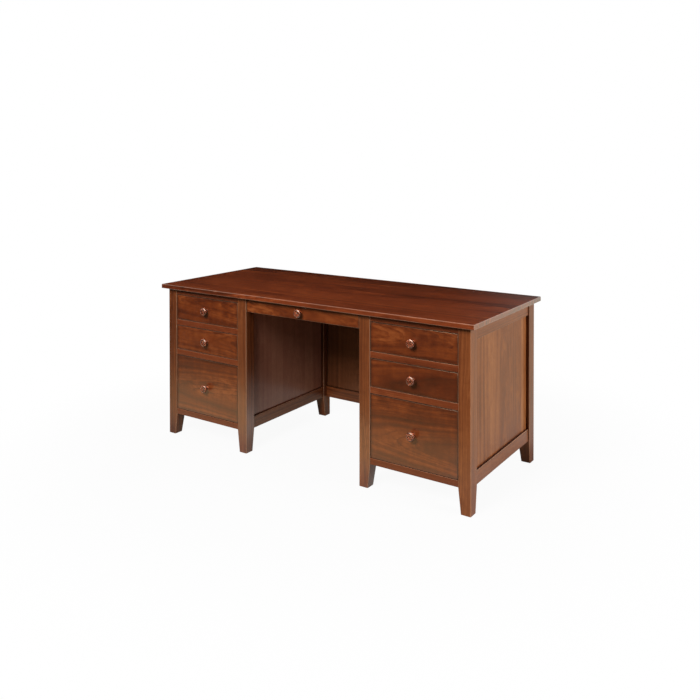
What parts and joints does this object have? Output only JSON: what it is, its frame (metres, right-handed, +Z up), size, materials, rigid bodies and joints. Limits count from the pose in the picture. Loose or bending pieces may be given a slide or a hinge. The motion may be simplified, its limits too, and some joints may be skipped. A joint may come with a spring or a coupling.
{
  "type": "executive desk",
  "caption": "Executive desk: drawer pedestals either side of a kneehole, frame-and-panel sides, tapered feet, dovetailed drawers on slides and a solid wood top.",
  "frame": {"origin": "on the floor under the middle of the desktop", "axes": "+X along the desk, to the right as seen from the drawer side; +Y from the drawer faces to the back; +Z up"},
  "size_m": [1.778, 0.711, 0.768],
  "materials": {
    "top_wood": "red-brown stain under satin lacquer",
    "frame_wood": "red-brown stain under satin lacquer",
    "panel_wood": "red-brown stain under satin lacquer",
    "face_wood": "red-brown stain under satin lacquer",
    "knob_wood": "turned, stained and lacquered",
    "box_wood": "clear satin on pale hardwood",
    "cleat_wood": "bare hardwood",
    "steel": "zinc-plated sheet steel"
  },
  "bodies": {
    "cabinet": {"back_rails": "frame_wood", "cabinet_slide_members": "steel", "desktop": "top_wood", "left_back_panel": "panel_wood", "left_front_rails": "frame_wood", "left_knee_back_post": "frame_wood", "left_knee_front_post": "frame_wood", "left_knee_panel": "panel_wood", "left_outer_back_post": "frame_wood", "left_outer_front_post": "frame_wood", "left_outer_panel": "panel_wood", "left_side_rails": "frame_wood", "modesty_panel": "panel_wood", "right_back_panel": "panel_wood", "right_front_rails": "frame_wood", "right_knee_back_post": "frame_wood", "right_knee_front_post": "frame_wood", "right_knee_panel": "panel_wood", "right_outer_back_post": "frame_wood", "right_outer_front_post": "frame_wood", "right_outer_panel": "panel_wood", "right_side_rails": "frame_wood", "slide_cleats": "cleat_wood", "top_brackets": "steel"},
    "left_top_drawer": {"left_top_drawer_box": "box_wood", "left_top_drawer_face": "face_wood", "left_top_drawer_knob": "knob_wood", "left_top_drawer_slides": "steel"},
    "left_top_carriers": {"left_top_drawer_carriers": "steel"},
    "left_middle_drawer": {"left_middle_drawer_box": "box_wood", "left_middle_drawer_face": "face_wood", "left_middle_drawer_knob": "knob_wood", "left_middle_drawer_slides": "steel"},
    "left_middle_carriers": {"left_middle_drawer_carriers": "steel"},
    "left_file_drawer": {"left_file_drawer_box": "box_wood", "left_file_drawer_face": "face_wood", "left_file_drawer_file_rails": "steel", "left_file_drawer_knob": "knob_wood", "left_file_drawer_slides": "steel"},
    "left_file_carriers": {"left_file_drawer_carriers": "steel"},
    "right_top_drawer": {"right_top_drawer_box": "box_wood", "right_top_drawer_face": "face_wood", "right_top_drawer_knob": "knob_wood", "right_top_drawer_slides": "steel"},
    "right_top_carriers": {"right_top_drawer_carriers": "steel"},
    "right_middle_drawer": {"right_middle_drawer_box": "box_wood", "right_middle_drawer_face": "face_wood", "right_middle_drawer_knob": "knob_wood", "right_middle_drawer_slides": "steel"},
    "right_middle_carriers": {"right_middle_drawer_carriers": "steel"},
    "right_file_drawer": {"right_file_drawer_box": "box_wood", "right_file_drawer_face": "face_wood", "right_file_drawer_file_rails": "steel", "right_file_drawer_knob": "knob_wood", "right_file_drawer_slides": "steel"},
    "right_file_carriers": {"right_file_drawer_carriers": "steel"},
    "pencil_drawer": {"pencil_drawer_box": "box_wood", "pencil_drawer_face": "face_wood", "pencil_drawer_knob": "knob_wood", "pencil_drawer_slides": "steel"}
  },
  "joints": [
    {"name": "left_top_drawer_slide", "type": "slide", "parent": "cabinet", "child": "left_top_drawer", "axis": [0, -1, 0], "range_m": [0, 0.55]},
    {"name": "left_top_carriers_slide", "type": "slide", "parent": "cabinet", "child": "left_top_carriers", "axis": [0, -1, 0], "range_m": [0, 0.275]},
    {"name": "left_middle_drawer_slide", "type": "slide", "parent": "cabinet", "child": "left_middle_drawer", "axis": [0, -1, 0], "range_m": [0, 0.55]},
    {"name": "left_middle_carriers_slide", "type": "slide", "parent": "cabinet", "child": "left_middle_carriers", "axis": [0, -1, 0], "range_m": [0, 0.275]},
    {"name": "left_file_drawer_slide", "type": "slide", "parent": "cabinet", "child": "left_file_drawer", "axis": [0, -1, 0], "range_m": [0, 0.55]},
    {"name": "left_file_carriers_slide", "type": "slide", "parent": "cabinet", "child": "left_file_carriers", "axis": [0, -1, 0], "range_m": [0, 0.275]},
    {"name": "right_top_drawer_slide", "type": "slide", "parent": "cabinet", "child": "right_top_drawer", "axis": [0, -1, 0], "range_m": [0, 0.55]},
    {"name": "right_top_carriers_slide", "type": "slide", "parent": "cabinet", "child": "right_top_carriers", "axis": [0, -1, 0], "range_m": [0, 0.275]},
    {"name": "right_middle_drawer_slide", "type": "slide", "parent": "cabinet", "child": "right_middle_drawer", "axis": [0, -1, 0], "range_m": [0, 0.55]},
    {"name": "right_middle_carriers_slide", "type": "slide", "parent": "cabinet", "child": "right_middle_carriers", "axis": [0, -1, 0], "range_m": [0, 0.275]},
    {"name": "right_file_drawer_slide", "type": "slide", "parent": "cabinet", "child": "right_file_drawer", "axis": [0, -1, 0], "range_m": [0, 0.55]},
    {"name": "right_file_carriers_slide", "type": "slide", "parent": "cabinet", "child": "right_file_carriers", "axis": [0, -1, 0], "range_m": [0, 0.275]},
    {"name": "pencil_drawer_slide", "type": "slide", "parent": "cabinet", "child": "pencil_drawer", "axis": [0, -1, 0], "range_m": [0, 0.26]}
  ],
  "couplings": [
    {"joint": "left_top_carriers_slide", "follows": "left_top_drawer_slide", "ratio": 0.5},
    {"joint": "left_middle_carriers_slide", "follows": "left_middle_drawer_slide", "ratio": 0.5},
    {"joint": "left_file_carriers_slide", "follows": "left_file_drawer_slide", "ratio": 0.5},
    {"joint": "right_top_carriers_slide", "follows": "right_top_drawer_slide", "ratio": 0.5},
    {"joint": "right_middle_carriers_slide", "follows": "right_middle_drawer_slide", "ratio": 0.5},
    {"joint": "right_file_carriers_slide", "follows": "right_file_drawer_slide", "ratio": 0.5}
  ]
}
